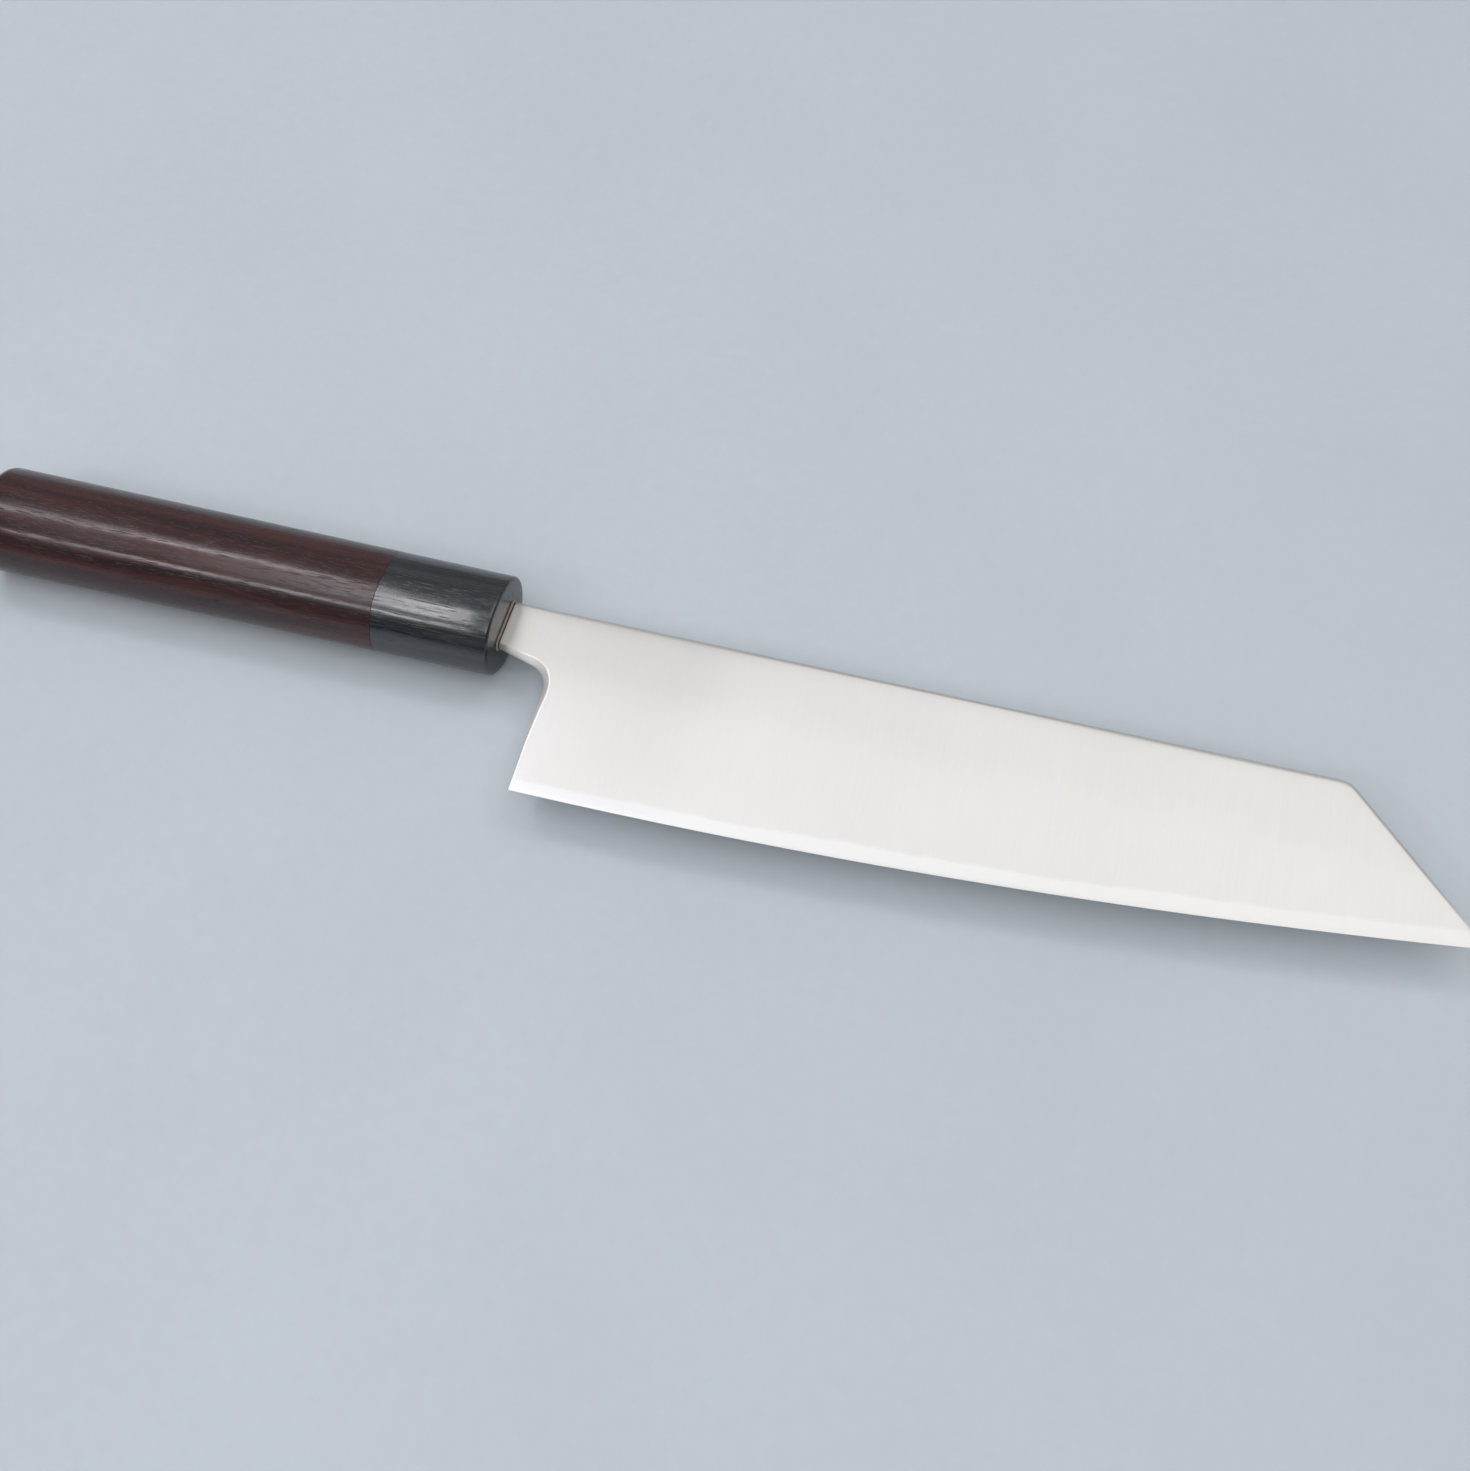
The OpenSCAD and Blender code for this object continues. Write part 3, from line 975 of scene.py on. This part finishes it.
    def outer_half(self, points: np.ndarray) -> np.ndarray:
        """Gives half the thickness of the finished steel, in millimetres.

        Args:
            points: Array of shape (n, 2).

        Returns:
            Array of n half thicknesses.
        """
        height = self.edge_height(points)
        share = np.clip((points[:, 0] - self.heel[0]) / self.length, 0.0, 1.0)
        bevel = self.bevel_height(share)
        up = (height - bevel) / (self.grind_h - bevel)
        ground = self.bevel_half + up * (self.spine_half - self.bevel_half)
        ground += 4.0 * self.bulge * up * (1.0 - up)
        taper = np.clip((points[:, 0] - self.taper_start) / (self.tip[0] - self.taper_start), 0.0, 1.0)
        thinned = taper * (self.early_taper + (1.0 - self.early_taper) * taper)
        body = self.spine_half - (self.spine_half - self.tip_half) * thinned
        tang = np.clip(-points[:, 0] / self.tang_len, 0.0, 1.0)
        body -= (self.spine_half - self.tang_end_half) * tang
        half = soft_min(ground, body, self.grind_blend)
        low = self.edge_half + (self.bevel_half - self.edge_half) * np.clip(height / bevel, 0.0, 1.0)
        half = np.where(height < bevel, low, half)
        return half * self._ease(points)

    def _chamfered(self, inward: np.ndarray) -> np.ndarray:
        """Gives a rim's drop, partly straight and partly round, where inward is 1 at its very edge."""
        rounded = 1.0 - np.sqrt(1.0 - inward**2)
        return self.chamfer_share * inward + (1.0 - self.chamfer_share) * rounded

    def _ease(self, points: np.ndarray) -> np.ndarray:
        """Gives the share of the thickness that the rounded rims leave.

        Args:
            points: Array of shape (n, 2).

        Returns:
            Array of n shares.
        """
        gap, place = distance_to(self.under, points)
        width = np.interp(place, self.rim_marks, self.rim_widths)
        depth = np.interp(place, self.rim_marks, self.rim_depths)
        left = 1.0 - depth * self._chamfered(np.clip(1.0 - gap / width, 0.0, 1.0))
        gap, _ = distance_to(self.above, points)
        broad = np.clip(1.0 - gap / self.spine_roll, 0.0, 1.0)
        eased = self._chamfered(np.clip(1.0 - gap / self.spine_ease, 0.0, 1.0))
        return left * (1.0 - self.roll_depth * broad**2) * (1.0 - self.spine_drop * eased)

    def core_half_at(self, points: np.ndarray, columns: np.ndarray, rows: np.ndarray) -> np.ndarray:
        """Gives half the thickness of the core.

        Args:
            points: Array of shape (n, 2).
            columns: The column of each point.
            rows: The row of each point.

        Returns:
            Array of n half thicknesses.
        """
        outer = self.outer_half(points)
        above = np.linalg.norm(points - self.sheet[columns, self.seam_row], axis=1)
        inner = np.minimum(self.seam_z[columns] + self.core_growth * above, self.core_half)
        return np.where(rows > self.seam_row, np.minimum(inner, outer - self.skin), outer)

    def _cells(self, name: str, first_row: int) -> Bench:
        """Makes the closed block of cells that a layer is shaped from.

        Args:
            name: Name of the piece.
            first_row: Lowest row of cells that the layer keeps.

        Returns:
            The bench with the block, one cell thick.
        """
        columns = self.sheet.shape[0] - 1
        rows = self.sheet.shape[1] - 1
        Bench.clear()
        bpy.ops.mesh.primitive_grid_add(x_subdivisions=columns, y_subdivisions=rows, size=2.0)
        bench = Bench(name)
        spots = (bench.coordinates() + [1.0, 1.0, 0.0]) / 2.0 * [columns, rows, 1.0]
        bench.lay(np.rint(spots))

        def spare(spot: Vector) -> bool:
            """Says whether a cell is below the layer or under the neck."""
            return spot.y < first_row or (spot.x < self.neck_columns and spot.y < self.neck_row)

        bench.pick(Pick.FACES, spare)
        bpy.ops.mesh.delete(type="FACE")
        bench.pick_all()
        bench.extrude((0.0, 0.0, 1.0))
        bench.leave()
        return bench

    def _shape(self, bench: Bench, lower: Callable, upper: Callable) -> None:
        """Shapes a block of cells into a layer and gives it a UV map whose v is 0 at the seam.

        Args:
            bench: The bench with the block.
            lower: Gives the height of the block's lower side from points, columns and rows.
            upper: Gives the height of its upper side.
        """
        spots = np.rint(bench.coordinates()).astype(int)
        columns, rows, side = spots.T
        points = self.sheet[columns, rows]
        heights = np.where(side > 0, upper(points, columns, rows), lower(points, columns, rows))
        bench.lay(seated(np.column_stack([points, heights])))
        chart = bench.piece.data.uv_layers.new(name=EDGE_CHART)
        u = (points[:, 0] + self.tang_len) / (self.tip[0] + self.tang_len)
        share = np.clip((points[:, 0] - self.heel[0]) / self.length, 0.0, 1.0)
        v = (self.edge_height(points) - self.seam_height(share)) / CHART_HEIGHT
        for loop, spot in zip(bench.piece.data.loops, chart.data):
            spot.uv = (u[loop.vertex_index], v[loop.vertex_index])

    def build_core(self, material: bpy.types.Material) -> None:
        """Builds the core with its exposed ground edge and a sharp seam.

        Args:
            material: Its finish.
        """
        bench = self._cells("core_layer", 0)
        self._shape(bench, lambda *spot: -self.core_half_at(*spot), self.core_half_at)
        seam = set()
        for side in (-1.0, 1.0):
            heights = side * self.seam_z[self.neck_columns :]
            places = seated(np.column_stack([self.sheet[self.neck_columns :, self.seam_row], heights]))
            seam.update(map(tuple, np.round(places, DIGITS)))
        bench.pick(Pick.VERTS, lambda spot: tuple(np.round(np.array(spot), DIGITS)) in seam)
        bpy.ops.mesh.mark_sharp()
        bench.close()
        bench.finish(material, "core_steel", ["core_steel"])

    def build_claddings(self, material: bpy.types.Material) -> None:
        """Builds the right-hand cladding, and the left-hand one as its mirrored copy.

        Args:
            material: Their finish.
        """
        bench = self._cells("right_cladding_layer", self.seam_row)
        self._shape(bench, self.core_half_at, lambda points, columns, rows: self.outer_half(points))
        bench.close()
        twin = bench.piece.copy()
        twin.data = bench.piece.data.copy()
        bpy.context.scene.collection.objects.link(twin)
        bench.finish(material, "clad_steel", ["right_cladding"])
        Bench.clear()
        bpy.context.view_layer.objects.active = twin
        other = Bench("left_cladding_layer")
        other.pick_all()
        middle = seated_point(0.0, 0.0, 0.0)
        bpy.ops.transform.resize(value=(1.0, 1.0, -1.0), center_override=middle)
        other.close()
        other.finish(material, "clad_steel", ["left_cladding"])


# Handle


@dataclass
class Handle:
    """The ridged wooden handle with its black ferrule."""

    length: float = 132.0
    ferrule_len: float = 28.6
    height: float = 24.8
    thickness: float = 19.8
    flare: float = 0.075
    ridge_h: float = 0.85
    ridge_angle: float = 120.0
    ridge_spread: float = 23.0
    front_ease: float = 0.8
    joint_ease: float = 0.07
    butt_r: float = 3.0
    butt_insets: tuple[float, ...] = (1.5, 3.0)
    dowel_d: float = 13.0
    dowel_end: float = 106.0
    front_wall: float = 6.0
    glue_gap: float = 0.1
    neck_mid: float = 0.3
    neck_h: float = 12.4
    neck_t: float = 2.2
    seal_w: float = 0.6
    seal_depth: float = 1.5
    seal_proud: float = 0.4
    # The thin dark line beside the amber bead, painted shade in the gap next to the steel: its width and
    # how far it stands out of the face.
    line_w: float = 0.28
    line_proud: float = 0.62
    # How far a cutting shape reaches past what it cuts, and the slot's reach into the bore.
    overcut: float = 5.0
    slot_overlap: float = 2.0
    # How the surface is divided: rings are distances behind the ferrule's front face.
    ferrule_rings: tuple[float, ...] = (6.0, 12.0, 18.0, 24.0)
    body_rings: tuple[float, ...] = (36.0, 48.0, 60.0, 72.0, 84.0, 96.0, 108.0, 120.0)
    section_steps: int = 144
    ease_steps: int = 7
    bore_steps: int = 96
    slot_steps: int = 64
    bead_steps: int = 16

    def _scale(self, back: float, inset: float) -> float:
        """Gives the section's scale at a distance behind the front, drawn in by an inset."""
        return 1.0 + self.flare * back / self.length - inset / (self.thickness / 2.0)

    def _section(self, name: str, back: float, inset: float) -> Bench:
        """Draws the handle's section as a filled face.

        Args:
            name: Name of the piece.
            back: Distance behind the ferrule's front face.
            inset: How far the section is drawn in.

        Returns:
            The bench with the face.
        """
        Bench.clear()
        bpy.ops.mesh.primitive_circle_add(
            vertices=self.section_steps, radius=1.0, fill_type="NGON", rotation=(0.0, QUARTER_TURN, 0.0)
        )
        bench = Bench(name)
        bench.settle()
        round_face = bench.coordinates()
        angles = np.arctan2(round_face[:, 2], round_face[:, 1])
        off = (np.degrees(angles) % 360.0 - self.ridge_angle) / self.ridge_spread
        swell = 1.0 + self.ridge_h / (self.thickness / 2.0) * np.exp(-off * off)
        scale = swell * self._scale(back, inset)
        across = self.height / 2.0 * np.cos(angles) * scale
        up = self.thickness / 2.0 * np.sin(angles) * scale
        bench.lay(seated(np.column_stack([np.full(len(angles), -back), across, up])))
        return bench

    def _run(self, bench: Bench, rings: Sequence[tuple[float, float]]) -> None:
        """Extrudes the section from ring to ring.

        Args:
            bench: The bench with the section at the first ring.
            rings: Distance behind the front and inset of each ring.
        """
        bench.pick_all()
        for (back, inset), (next_back, next_inset) in zip(rings[:-1], rings[1:]):
            bench.extrude(((back - next_back) * MM, 0.0, 0.0))
            ratio = self._scale(next_back, next_inset) / self._scale(back, inset)
            middle = seated_point(-next_back, 0.0, 0.0)
            bpy.ops.transform.resize(value=(1.0, ratio, ratio), center_override=middle)
        bench.leave()

    def _rod(self, name: str, front: float, back: float, radius: float, steps: int) -> Bench:
        """Makes a cylinder along the handle, level with the middle of the neck.

        Args:
            name: Name of the shape.
            front: Its front end, behind the ferrule's front face.
            back: Its back end.
            radius: Its radius.
            steps: Number of sides.

        Returns:
            The bench with the cylinder.
        """
        Bench.clear()
        bpy.ops.mesh.primitive_cylinder_add(
            vertices=steps,
            radius=radius * MM,
            depth=(back - front) * MM,
            location=seated_point(-(front + back) / 2.0, self.neck_mid, 0.0),
            rotation=(0.0, QUARTER_TURN, 0.0),
        )
        return Bench(name)

    def _bore(self, front: float, back: float) -> Bench:
        """Makes the cutter for the dowel's bore between two distances behind the front."""
        return self._rod("bore", front, back, self.dowel_d / 2.0 + self.glue_gap, self.bore_steps)

    def _stretch(self, bench: Bench, reach: float) -> None:
        """Pulls the two halves of a round shape apart along the neck's height.

        Args:
            bench: The bench with the round shape.
            reach: How far each half moves.
        """
        bench.settle()
        middle = seated_point(0.0, self.neck_mid, 0.0)
        for side in (1.0, -1.0):
            bench.pick(Pick.VERTS, lambda spot: side * (spot.y - middle.y) > -TINY * side)
            bpy.ops.transform.translate(value=(0.0, side * reach * MM, 0.0))
        bench.leave()

    def _slot(self) -> Bench:
        """Makes the cutter for the neck's slot, a round-ended prism that leaves room for the seal.

        Returns:
            The bench with the prism.
        """
        radius = self.neck_t / 2.0 + self.seal_w
        back = self.front_wall + self.slot_overlap
        bench = self._rod("slot", -self.overcut, back, radius, self.slot_steps)
        self._stretch(bench, self.neck_h / 2.0 + self.seal_w - radius)
        return bench

    def build_ferrule(self, material: bpy.types.Material) -> None:
        """Builds the ferrule with its eased front edge, neck slot and bore.

        Args:
            material: Its finish.
        """
        rings = []
        for step in range(self.ease_steps + 1):
            angle = math.radians(90.0 * step / self.ease_steps)
            back = self.front_ease * (1.0 - math.cos(angle))
            rings.append((back, self.front_ease * (1.0 - math.sin(angle))))
        rings += [(back, 0.0) for back in self.ferrule_rings]
        rings += [(self.ferrule_len - self.joint_ease, 0.0), (self.ferrule_len, self.joint_ease)]
        bench = self._section("black_ferrule", *rings[0])
        self._run(bench, rings)
        bench.close()
        bench.cut(self._slot())
        bench.cut(self._bore(self.front_wall, self.ferrule_len + self.overcut))
        bench.finish(material, "ferrule_wood", ["ferrule"])

    def build_body(self, material: bpy.types.Material) -> None:
        """Builds the handle's body with its rounded butt and bore.

        Args:
            material: Its finish.
        """
        rings = [(self.ferrule_len, self.joint_ease), (self.ferrule_len + self.joint_ease, 0.0)]
        rings += [(back, 0.0) for back in self.body_rings]
        for step in range(self.ease_steps + 1):
            angle = math.radians(90.0 * step / self.ease_steps)
            back = self.length - self.butt_r * (1.0 - math.sin(angle))
            rings.append((back, self.butt_r * (1.0 - math.cos(angle))))
        bench = self._section("rosewood_body", *rings[0])
        self._run(bench, rings)
        bpy.ops.object.mode_set(mode="EDIT")
        for inset in self.butt_insets:
            bpy.ops.mesh.inset(thickness=inset * MM)
        bench.leave()
        bench.close()
        bench.cut(self._bore(self.ferrule_len - self.overcut, self.dowel_end + self.glue_gap))
        bench.finish(material, "rosewood", ["handle_body"])

    def _bead(self, name: str, width: float, proud: float, depth: float) -> Bench:
        """Makes a round-fronted bead that hugs the neck.

        Args:
            name: Name of the piece.
            width: Width of the bead, outward from the steel.
            proud: How far it stands out of the ferrule's front face.
            depth: How far it reaches back from there.

        Returns:
            The bench with the bead.
        """
        radius = width / 2.0
        major = self.neck_t / 2.0 + radius
        Bench.clear()
        bpy.ops.mesh.primitive_torus_add(
            major_radius=major * MM,
            minor_radius=radius * MM,
            major_segments=self.slot_steps,
            minor_segments=self.bead_steps,
            location=seated_point(proud - radius, self.neck_mid, 0.0),
            rotation=(0.0, QUARTER_TURN, 0.0),
        )
        bench = Bench(name)
        self._stretch(bench, self.neck_h / 2.0 + radius - major)
        deep = seated_point(proud - radius, 0.0, 0.0).x - TINY
        bench.pick(Pick.VERTS, lambda spot: spot.x < deep)
        bpy.ops.transform.translate(value=(-(depth - radius) * MM, 0.0, 0.0))
        bench.leave()
        bench.close()
        return bench

    def build_seal(self, amber: bpy.types.Material, brown: bpy.types.Material) -> None:
        """Builds the amber bead that seals the slot, and a thin dark brown line between it and the
        steel, which is painted shade in the gap there.

        Args:
            amber: The bead's finish.
            brown: The line's finish, a dark brown that paints the shade of the gap.
        """
        bead = self._bead("amber_bead", self.seal_w, self.seal_proud, self.seal_depth)
        bead.finish(amber, "seal_resin", ["mouth_seal"])
        # The dark brown line is painted shade: a thin bead that darkens the gap between the amber bead
        # and the steel.
        line = self._bead("painted_shade_line", self.line_w, self.line_proud, self.line_w)
        line.finish(brown, "seal_resin", ["mouth_seal"])


# Hidden pieces


@dataclass
class HiddenPieces:
    """The dowel and the tang's bedding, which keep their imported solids."""

    nodes: dict[str, bpy.types.Object]

    def dress(self, name: str, material: bpy.types.Material) -> None:
        """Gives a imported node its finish.

        Args:
            name: Name of the node.
            material: The finish.
        """
        node = self.nodes[name]
        if not node.material_slots:
            node.data.materials.append(material)
        for slot in node.material_slots:
            slot.material = material
        LOG.info("%s: dressed", name)


# Studio


WARM_WHITE = (1.0, 0.99, 0.975)
COOL_WHITE = (0.955, 0.945, 1.0)
LAMP_HEIGHT = 1.30
# Energy per square metre at which a lamp looks as bright as a world of strength 1.
LAMP_ENERGY = 4.0


@dataclass(frozen=True)
class Softbox:
    """A rectangular soft lamp that hangs level above the knife."""

    name: str
    x: tuple[float, float]
    y: tuple[float, float]
    radiance: float
    tint: tuple[float, float, float]

    def build(self) -> None:
        """Hangs the lamp."""
        data = bpy.data.lights.new(self.name, "AREA")
        data.shape = "RECTANGLE"
        data.size = self.x[1] - self.x[0]
        data.size_y = self.y[1] - self.y[0]
        data.energy = self.radiance * LAMP_ENERGY * data.size * data.size_y
        data.color = self.tint
        lamp = bpy.data.objects.new(self.name, data)
        bpy.context.scene.collection.objects.link(lamp)
        lamp.location = (sum(self.x) / 2.0, sum(self.y) / 2.0, LAMP_HEIGHT)
        lamp.visible_camera = False


@dataclass(frozen=True)
class View:
    """The photograph's viewpoint: a pinhole camera fitted to the knife's outline."""

    centre: tuple[float, float, float] = (0.100712, -0.216360, 0.417409)
    elevation: float = math.radians(60.2886)
    azimuth: float = math.radians(22.0959)
    roll: float = math.radians(-6.8833)
    focal_px: float = 2098.6
    image_px: float = 1470.0
    sensor: float = 36.0
    clip: tuple[float, float] = (0.01, 50.0)

    def build(self) -> None:
        """Sets up the camera and makes it the scene's."""
        level = math.cos(self.elevation)
        east = math.sin(self.azimuth)
        north = math.cos(self.azimuth)
        back = Vector((east * level, -north * level, math.sin(self.elevation)))
        right = Vector((north, east, 0.0))
        up = back.cross(right)
        rolled_right = math.cos(self.roll) * right + math.sin(self.roll) * up
        rolled_up = math.cos(self.roll) * up - math.sin(self.roll) * right
        data = bpy.data.cameras.new("photo_view")
        data.sensor_fit = "HORIZONTAL"
        data.sensor_width = self.sensor
        data.lens = self.sensor * self.focal_px / self.image_px
        data.clip_start, data.clip_end = self.clip
        camera = bpy.data.objects.new("photo_view", data)
        bpy.context.scene.collection.objects.link(camera)
        turn = Matrix((rolled_right, rolled_up, back)).transposed().to_4x4()
        camera.matrix_world = Matrix.Translation(self.centre) @ turn
        bpy.context.scene.camera = camera


@dataclass
class Studio:
    """The pale floor, the soft lamps and the world round the knife."""

    floor_light: Colour = rgb(0.690, 0.754, 0.809)
    floor_dark: Colour = rgb(0.658, 0.718, 0.771)
    floor_size: float = 6.0
    # The card's mottling: waves per metre, and the share of the finer one.
    broad_waves: float = 14.0
    fine_waves: float = 260.0
    fine_share: float = 0.4
    floor_gloss: float = 0.15
    mottle_range: tuple[float, float] = (0.35, 0.65)
    card_roughness: tuple[float, float] = (0.75, 0.9)
    # The world grows brighter from horizon to zenith. Between the two bounds of the dimming it
    # fades to its share at the back, and a faint glow that grows towards the back is added.
    horizon: float = 0.06
    zenith: float = 0.46
    dimming: tuple[float, float] = (0.1, 0.6)
    back_share: float = 0.5
    back_glow: float = 0.22
    room: Colour = rgb(0.98, 0.99, 1.0)
    backdrop: Colour = rgb(0.56, 0.61, 0.66)
    # From the photograph's side the blade mirrors the back panel, and from straight above it
    # mirrors the overhead box, which is the dimmer one so that the steel doesn't clip to white.
    lamps: tuple[Softbox, ...] = (
        Softbox("overhead_box", x=(-0.30, 0.85), y=(-0.48, 0.00), radiance=0.5, tint=WARM_WHITE),
        Softbox("front_overhead_box", x=(-0.30, 0.85), y=(-1.05, -0.48), radiance=1.4, tint=WARM_WHITE),
        Softbox("back_panel", x=(-0.30, 1.05), y=(0.32, 1.02), radiance=0.80, tint=WARM_WHITE),
        Softbox("ferrule_strip", x=(-0.56, -0.46), y=(-0.52, 0.43), radiance=5.4, tint=COOL_WHITE),
        Softbox("left_wing", x=(-0.72, -0.56), y=(-0.95, 0.48), radiance=0.7, tint=COOL_WHITE),
        Softbox("left_back_strip", x=(-1.29, -0.60), y=(0.48, 0.69), radiance=4.3, tint=COOL_WHITE),
        Softbox("left_front_strip", x=(-1.20, -0.60), y=(-1.38, -0.94), radiance=4.0, tint=COOL_WHITE),
        Softbox("left_front_skirt", x=(-1.10, -0.60), y=(-1.90, -1.38), radiance=0.3, tint=COOL_WHITE),
    )

    def _floor_finish(self) -> bpy.types.Material:
        """Builds the floor's pale blue-grey card with faint mottling.

        Returns:
            The material.
        """
        material, sheet, shader, place = new_material("pale_card")
        where = place.outputs["Object"]
        broad = sheet.noise(sheet.stretched(where, (self.broad_waves,) * 3), 3.0)
        fine = sheet.noise(sheet.stretched(where, (self.fine_waves,) * 3), 3.0, 0.6)
        tone = sheet.math("MULTIPLY", broad, 1.0 - self.fine_share)
        tone = sheet.math("ADD", tone, sheet.math("MULTIPLY", fine, self.fine_share))
        mottled = sheet.remap(tone, *self.mottle_range)
        surface = {
            "Base Color": sheet.blend(mottled, self.floor_light, self.floor_dark),
            "Roughness": sheet.full(fine, *self.card_roughness),
            "Specular IOR Level": self.floor_gloss,
        }
        sheet.feed(shader, surface)
        return material

    def _build_world(self) -> None:
        """Builds the world that lights the knife, and the plain backdrop that the camera sees."""
        world = bpy.data.worlds.new("studio")
        bpy.context.scene.world = world
        world.use_nodes = True
        world.node_tree.nodes.clear()
        sheet = Sheet(world.node_tree)
        path = sheet.add("ShaderNodeLightPath")
        place = sheet.add("ShaderNodeTexCoord")
        aim = sheet.add("ShaderNodeSeparateXYZ", {0: place.outputs["Generated"]})
        dimmed = sheet.remap(aim.outputs[1], *self.dimming, 1.0, self.back_share)
        level = sheet.remap(aim.outputs[2], 0.0, 1.0, self.horizon, self.zenith)
        level = sheet.math("MULTIPLY", level, dimmed)
        level = sheet.math("ADD", level, sheet.remap(aim.outputs[1], 0.0, 1.0, 0.0, self.back_glow))
        room = sheet.add("ShaderNodeBackground", {0: self.room, 1: level}).outputs[0]
        seen = sheet.add("ShaderNodeBackground", {0: self.backdrop, 1: 1.0}).outputs[0]
        mix = sheet.add("ShaderNodeMixShader", {0: path.outputs["Is Camera Ray"], 1: room, 2: seen})
        sheet.add("ShaderNodeOutputWorld", {0: mix.outputs[0]})

    def build(self) -> None:
        """Builds the floor, the world and the lamps."""
        Bench.clear()
        bpy.ops.mesh.primitive_plane_add(size=self.floor_size)
        floor = bpy.context.active_object
        floor.name = "floor"
        floor.data.materials.append(self._floor_finish())
        bpy.context.scene.view_settings.view_transform = "Standard"
        self._build_world()
        for lamp in self.lamps:
            lamp.build()


def main() -> None:
    """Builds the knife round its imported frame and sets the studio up."""
    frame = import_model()
    View().build()
    effects = Effects()
    blade = Blade()
    blade.build_core(CORE_STEEL.build(effects))
    blade.build_claddings(CLAD_STEEL.build(effects))
    handle = Handle()
    handle.build_ferrule(BLACK_WOOD.build(effects))
    handle.build_body(ROSEWOOD.build(effects))
    handle.build_seal(AMBER_RESIN.build(effects), PAINTED_SHADE_LINE.build(effects))
    hidden = HiddenPieces(frame["nodes"])
    hidden.dress("dowel", BEECH.build(effects))
    hidden.dress("tang_bedding", BEDDING_RESIN.build(effects))
    Studio().build()


logging.basicConfig(level=logging.INFO, format="%(name)s: %(message)s")

if __name__ == "__main__":
    main()
